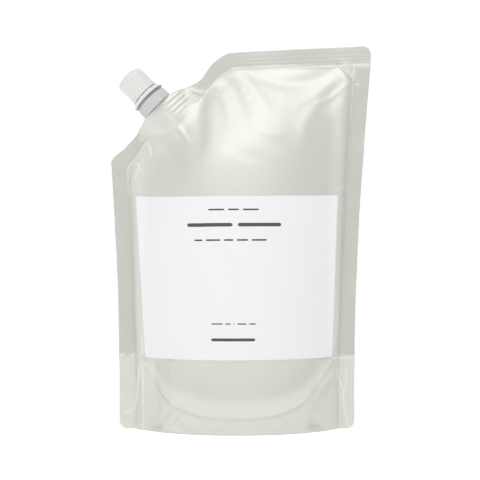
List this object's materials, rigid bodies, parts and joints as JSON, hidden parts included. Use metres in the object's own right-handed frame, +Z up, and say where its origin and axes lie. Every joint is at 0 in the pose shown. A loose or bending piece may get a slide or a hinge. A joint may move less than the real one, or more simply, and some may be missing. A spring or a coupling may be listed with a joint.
{
  "type": "liquid soap refill pouch",
  "caption": "Filled stand-up refill pouch for liquid soap, with a cut corner, a slanting spout with a ribbed screw cap and tamper band, and a plain paper label.",
  "frame": {"origin": "on the floor under the middle of the pouch's foot, in the plane midway between its two panels", "axes": "+Z up, front and label facing -Y, +X to the right as seen from the front, spout pointing up and to -X"},
  "size_m": [0.1742, 0.0707, 0.2549],
  "materials": {
    "pearl_film": "pearly grey-green laminate film with a satin sheen",
    "label_paper": "matt white coated paper with dark printed bars",
    "natural_plastic": "milky moulded polyethylene",
    "white_plastic": "satin white moulded polyethylene",
    "foam_liner": "white closed-cell foam"
  },
  "bodies": {
    "pouch": {"pouch": "pearl_film", "label": "label_paper", "spout": "natural_plastic", "tamper_band": "white_plastic"},
    "liner": {"cap_liner": "foam_liner"},
    "cap": {"cap": "white_plastic"}
  },
  "joints": [
    {"name": "cap_rise", "type": "slide", "parent": "pouch", "child": "liner", "axis": [-0.7071, 0, 0.7071], "range_m": [0, 0.015]},
    {"name": "cap_turn", "type": "hinge", "parent": "liner", "child": "cap", "pos_m": [-0.0523, 0, 0.2131], "axis": [-0.7071, 0, 0.7071], "range_deg": [0, 720]}
  ],
  "couplings": [
    {"joint": "cap_rise", "follows": "cap_turn", "m_per_rad": 0.0011937}
  ]
}
